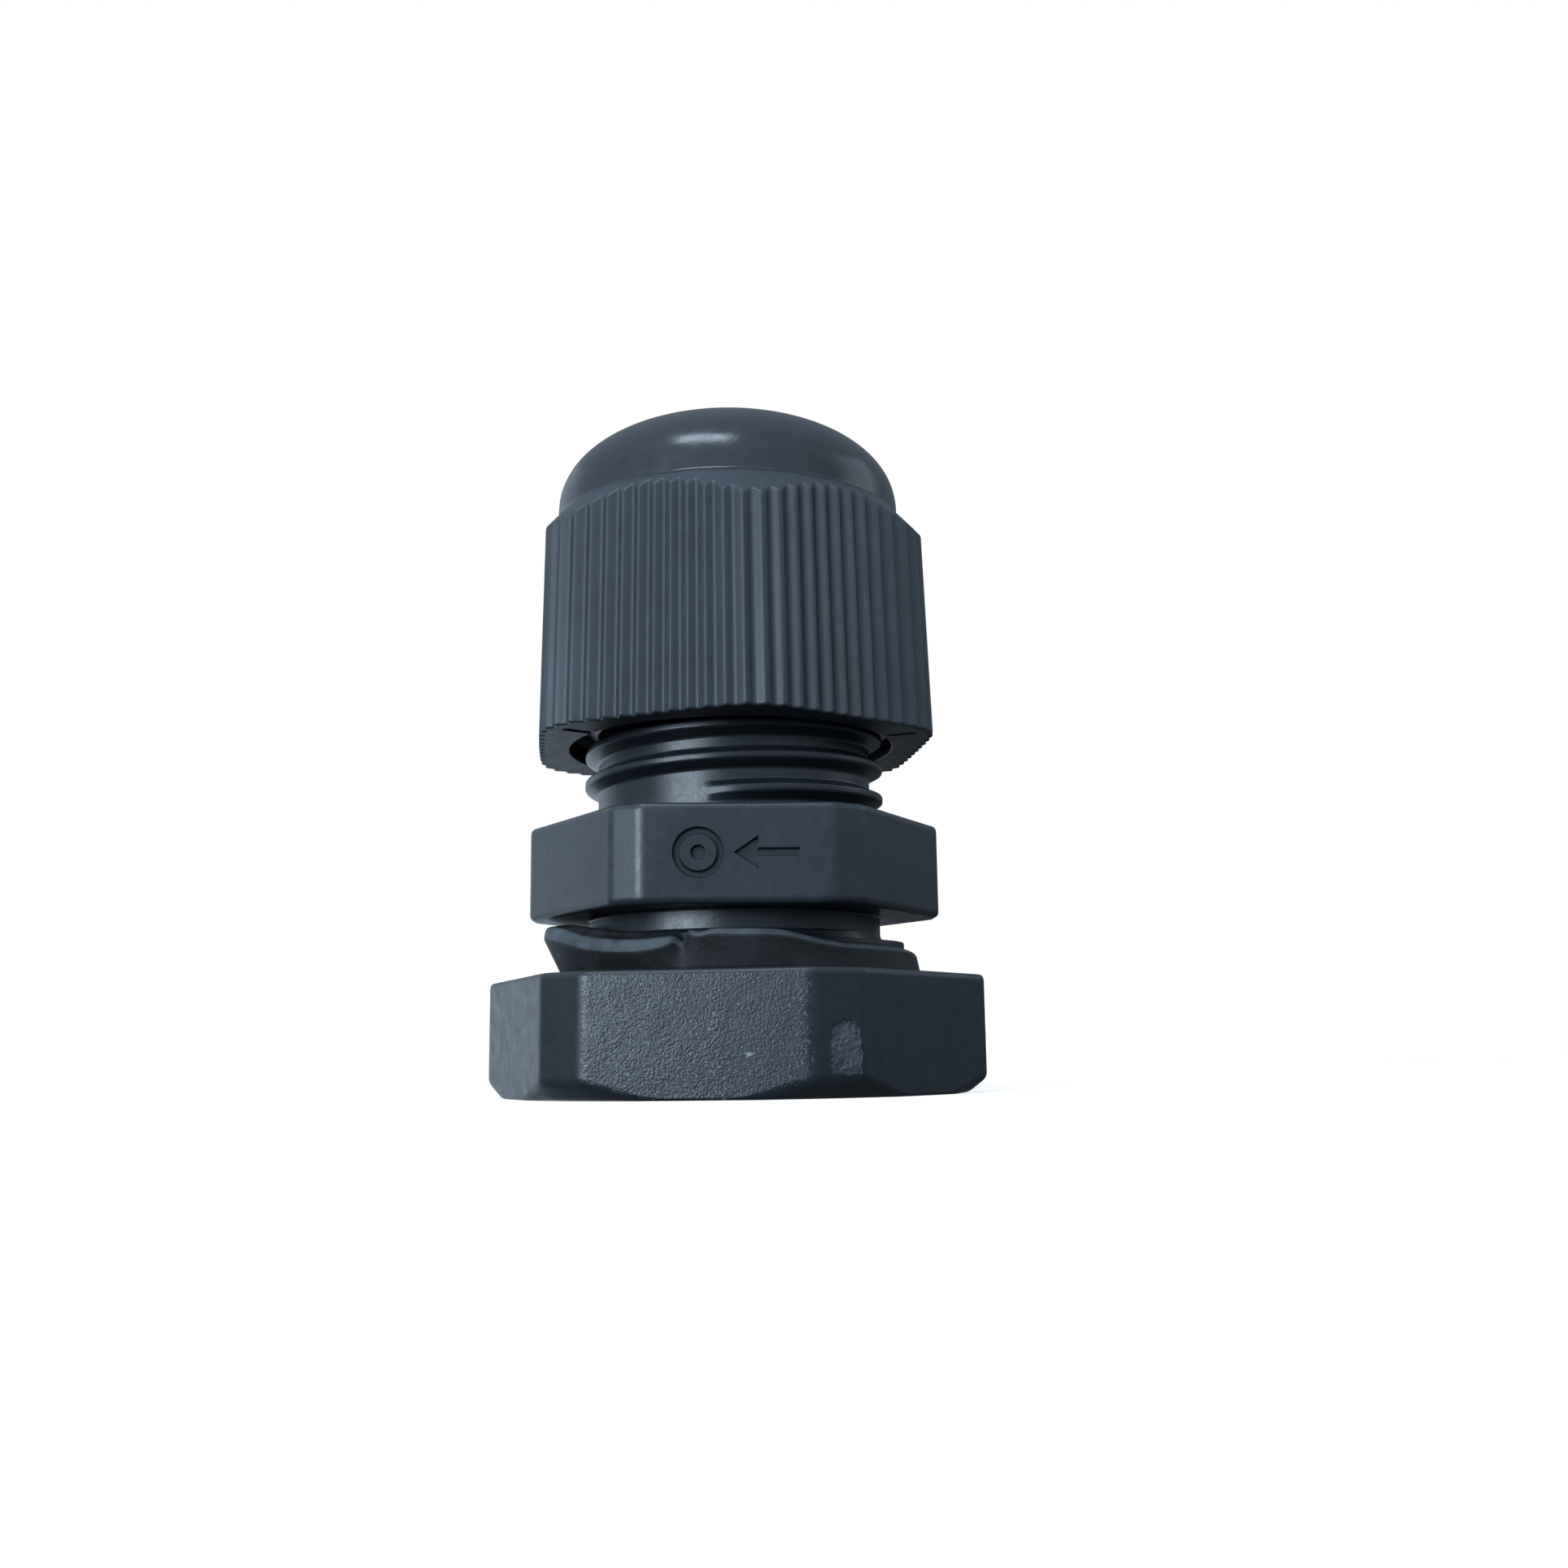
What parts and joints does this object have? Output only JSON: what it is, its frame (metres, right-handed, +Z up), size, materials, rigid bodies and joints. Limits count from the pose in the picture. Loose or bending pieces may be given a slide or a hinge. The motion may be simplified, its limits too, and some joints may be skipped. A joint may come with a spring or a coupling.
{
  "type": "cable gland",
  "caption": "Nylon cable gland with a ribbed dome nut, hexagonal body, rubber seal and washer, clamping fingers and a hexagonal lock nut.",
  "frame": {"origin": "middle of the lock nut's underside, on the gland's axis", "axes": "+Z up the gland's axis from the lock nut to the dome, -Y through the body's marked flat"},
  "size_m": [0.024, 0.0234, 0.033],
  "materials": {
    "body_nylon": "black moulded nylon, satin",
    "dome_nylon": "black moulded nylon, satin ribs and a glossy dome",
    "lock_nut_nylon": "black moulded nylon with a fine sparkling grain",
    "washer_rubber": "matte black rubber",
    "seal_rubber": "matte black rubber"
  },
  "bodies": {
    "gland_body": {"gland_body": "body_nylon"},
    "sealing_washer": {"sealing_washer": "washer_rubber"},
    "lock_nut": {"lock_nut": "lock_nut_nylon"},
    "seal_insert": {"seal_insert": "seal_rubber"},
    "dome_nut": {"dome_nut": "dome_nylon"},
    "finger_1": {"finger_1": "body_nylon"},
    "finger_2": {"finger_2": "body_nylon"},
    "finger_3": {"finger_3": "body_nylon"},
    "finger_4": {"finger_4": "body_nylon"},
    "finger_5": {"finger_5": "body_nylon"},
    "finger_6": {"finger_6": "body_nylon"},
    "finger_7": {"finger_7": "body_nylon"},
    "finger_8": {"finger_8": "body_nylon"},
    "finger_9": {"finger_9": "body_nylon"},
    "finger_10": {"finger_10": "body_nylon"}
  },
  "joints": [
    {"name": "washer_travel", "type": "slide", "parent": "gland_body", "child": "sealing_washer", "axis": [0, 0, 1], "range_m": [-0.0045, 0.0002]},
    {"name": "lock_nut_turn", "type": "hinge", "parent": "sealing_washer", "child": "lock_nut", "pos_m": [0, 0, 0.00275], "axis": [0, 0, 1], "range_deg": [-1081, 49]},
    {"name": "seal_travel", "type": "slide", "parent": "gland_body", "child": "seal_insert", "axis": [0, 0, 1], "range_m": [-0.003, 0]},
    {"name": "dome_nut_turn", "type": "hinge", "parent": "seal_insert", "child": "dome_nut", "pos_m": [0, 0, 0.0225], "axis": [0, 0, 1], "range_deg": [-721, 0]},
    {"name": "finger_1_bend", "type": "hinge", "parent": "gland_body", "child": "finger_1", "pos_m": [0.00195, -0.00599, 0.01975], "axis": [-0.9511, -0.309, 0], "range_deg": [0, 8.05]},
    {"name": "finger_2_bend", "type": "hinge", "parent": "gland_body", "child": "finger_2", "pos_m": [0.0051, -0.0037, 0.01975], "axis": [-0.5878, -0.809, 0], "range_deg": [0, 8.05]},
    {"name": "finger_3_bend", "type": "hinge", "parent": "gland_body", "child": "finger_3", "pos_m": [0.0063, 0, 0.01975], "axis": [0, -1, 0], "range_deg": [0, 8.05]},
    {"name": "finger_4_bend", "type": "hinge", "parent": "gland_body", "child": "finger_4", "pos_m": [0.0051, 0.0037, 0.01975], "axis": [0.5878, -0.809, 0], "range_deg": [0, 8.05]},
    {"name": "finger_5_bend", "type": "hinge", "parent": "gland_body", "child": "finger_5", "pos_m": [0.00195, 0.00599, 0.01975], "axis": [0.9511, -0.309, 0], "range_deg": [0, 8.05]},
    {"name": "finger_6_bend", "type": "hinge", "parent": "gland_body", "child": "finger_6", "pos_m": [-0.00195, 0.00599, 0.01975], "axis": [0.9511, 0.309, 0], "range_deg": [0, 8.05]},
    {"name": "finger_7_bend", "type": "hinge", "parent": "gland_body", "child": "finger_7", "pos_m": [-0.0051, 0.0037, 0.01975], "axis": [0.5878, 0.809, 0], "range_deg": [0, 8.05]},
    {"name": "finger_8_bend", "type": "hinge", "parent": "gland_body", "child": "finger_8", "pos_m": [-0.0063, 0, 0.01975], "axis": [0, 1, 0], "range_deg": [0, 8.05]},
    {"name": "finger_9_bend", "type": "hinge", "parent": "gland_body", "child": "finger_9", "pos_m": [-0.0051, -0.0037, 0.01975], "axis": [-0.5878, 0.809, 0], "range_deg": [0, 8.05]},
    {"name": "finger_10_bend", "type": "hinge", "parent": "gland_body", "child": "finger_10", "pos_m": [-0.00195, -0.00599, 0.01975], "axis": [-0.9511, 0.309, 0], "range_deg": [0, 8.05]}
  ],
  "couplings": [
    {"joint": "lock_nut_turn", "follows": "washer_travel", "rad_per_m": 4188.8},
    {"joint": "dome_nut_turn", "follows": "seal_travel", "rad_per_m": 4188.8},
    {"joint": "finger_1_bend", "follows": "seal_travel", "rad_per_m": -46.542},
    {"joint": "finger_2_bend", "follows": "seal_travel", "rad_per_m": -46.542},
    {"joint": "finger_3_bend", "follows": "seal_travel", "rad_per_m": -46.542},
    {"joint": "finger_4_bend", "follows": "seal_travel", "rad_per_m": -46.542},
    {"joint": "finger_5_bend", "follows": "seal_travel", "rad_per_m": -46.542},
    {"joint": "finger_6_bend", "follows": "seal_travel", "rad_per_m": -46.542},
    {"joint": "finger_7_bend", "follows": "seal_travel", "rad_per_m": -46.542},
    {"joint": "finger_8_bend", "follows": "seal_travel", "rad_per_m": -46.542},
    {"joint": "finger_9_bend", "follows": "seal_travel", "rad_per_m": -46.542},
    {"joint": "finger_10_bend", "follows": "seal_travel", "rad_per_m": -46.542}
  ]
}
